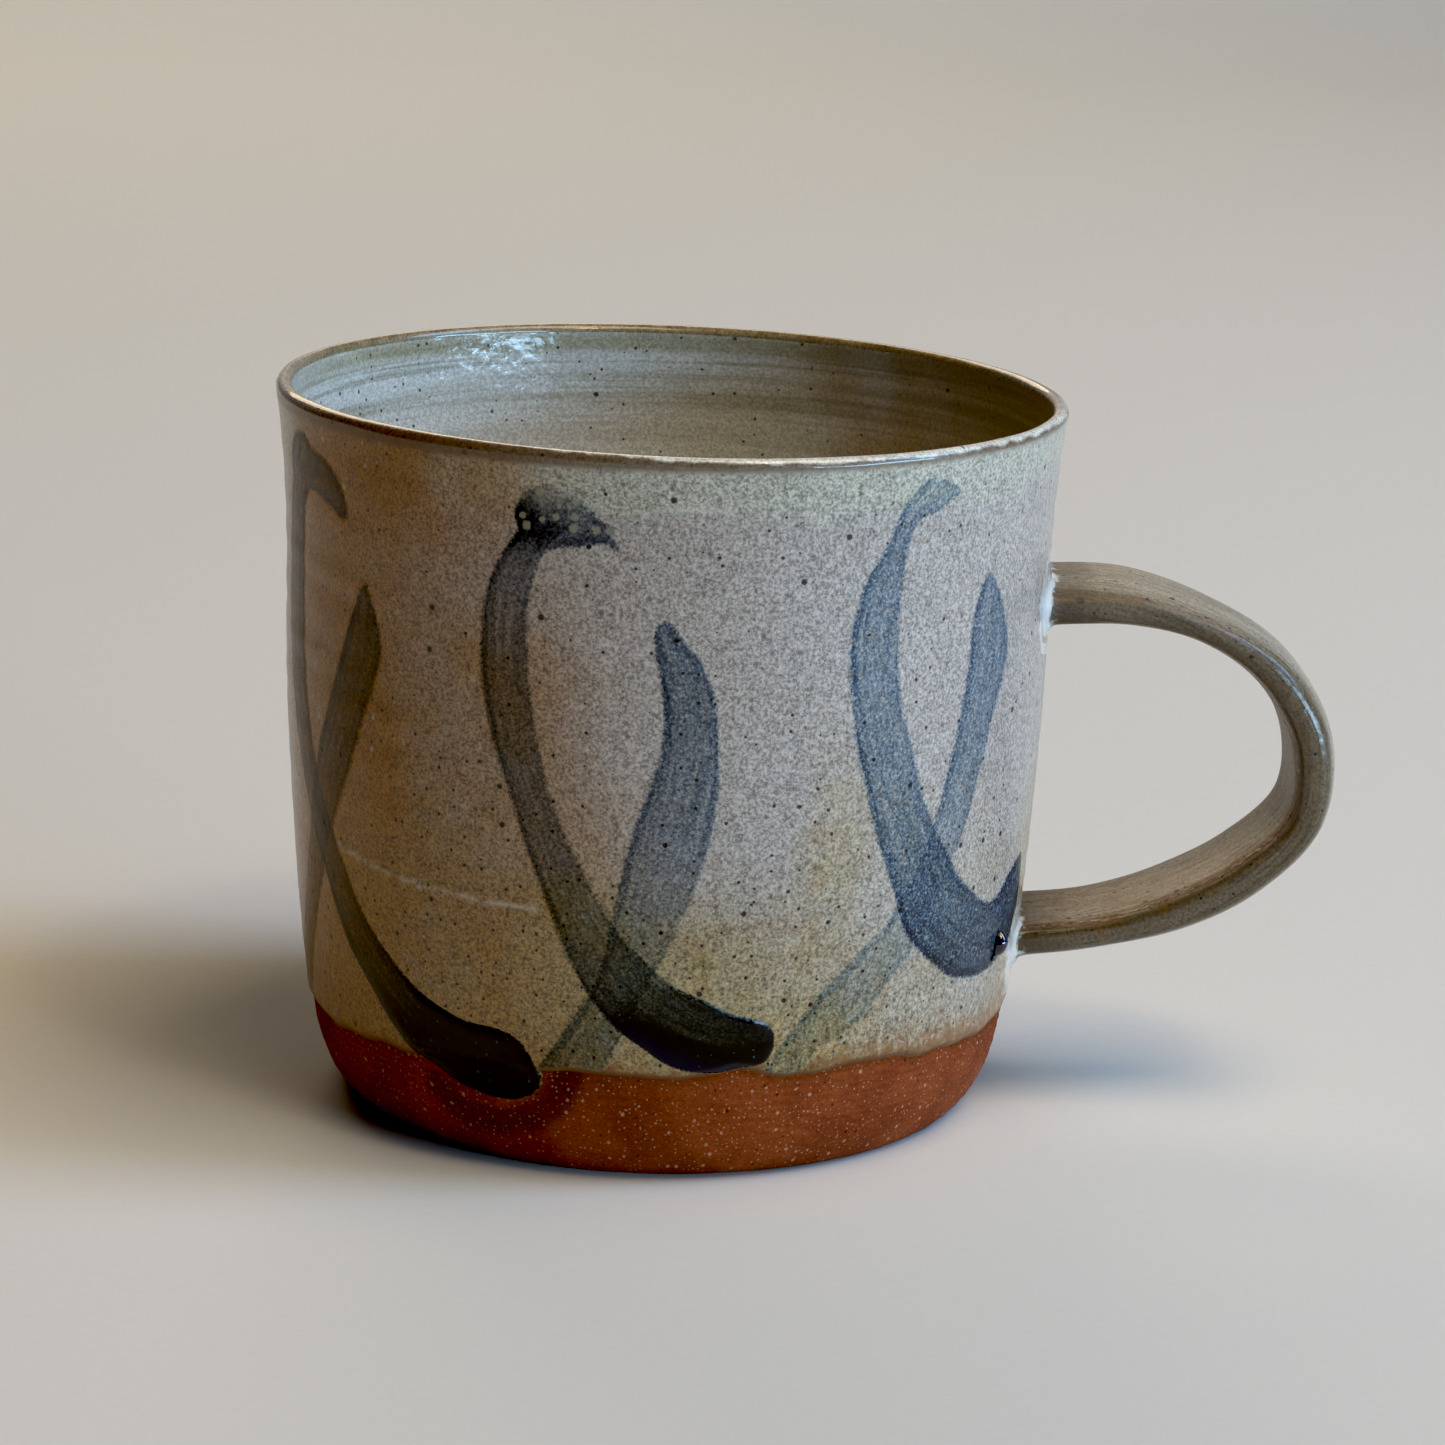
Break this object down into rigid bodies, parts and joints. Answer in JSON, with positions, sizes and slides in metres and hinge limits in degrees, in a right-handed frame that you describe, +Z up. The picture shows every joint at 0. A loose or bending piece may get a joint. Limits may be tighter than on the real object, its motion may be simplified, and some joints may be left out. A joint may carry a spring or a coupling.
{
  "type": "stoneware mug",
  "caption": "Hand-thrown stoneware mug with a pulled strap handle, satin grey glaze, bare clay foot and crossed cobalt brush strokes round the wall.",
  "frame": {"origin": "centre of the flat base, at the height of the surface it stands on", "axes": "+Z up along the cup's axis; +X from the axis towards the handle; the side seen in front is -Y"},
  "size_m": [0.1225, 0.0898, 0.082],
  "materials": {
    "bare_clay": "unglazed red-brown grogged stoneware, matte",
    "outer_glaze": "satin semi-opaque grey glaze with fine iron speckle",
    "liner_glaze": "glossy grey-blue liner glaze over throwing rings",
    "lip_glaze": "thin satin glaze breaking to brown on its edges",
    "handle_glaze": "satin grey-brown glaze, thin and streaked along the strap",
    "glaze_pool": "thick pale glossy glaze gathered in the angle",
    "cobalt_wash": "blue-grey cobalt brushwork, darker at its edges",
    "cobalt_bead": "thick glossy blue-black glaze"
  },
  "bodies": {
    "root": {"thrown_body": "bare_clay", "pulled_handle": "bare_clay", "upper_handle_joint": "bare_clay", "lower_handle_joint": "bare_clay", "outer_glaze": "outer_glaze", "liner_glaze": "liner_glaze", "lip_glaze": "lip_glaze", "handle_glaze": "handle_glaze", "upper_glaze_pool": "glaze_pool", "lower_glaze_pool": "glaze_pool", "brushwork_front": "cobalt_wash", "brushwork_right": "cobalt_wash", "brushwork_back_right": "cobalt_wash", "brushwork_back": "cobalt_wash", "brushwork_back_left": "cobalt_wash", "brushwork_left": "cobalt_wash", "glaze_bead": "cobalt_bead"}
  },
  "joints": []
}
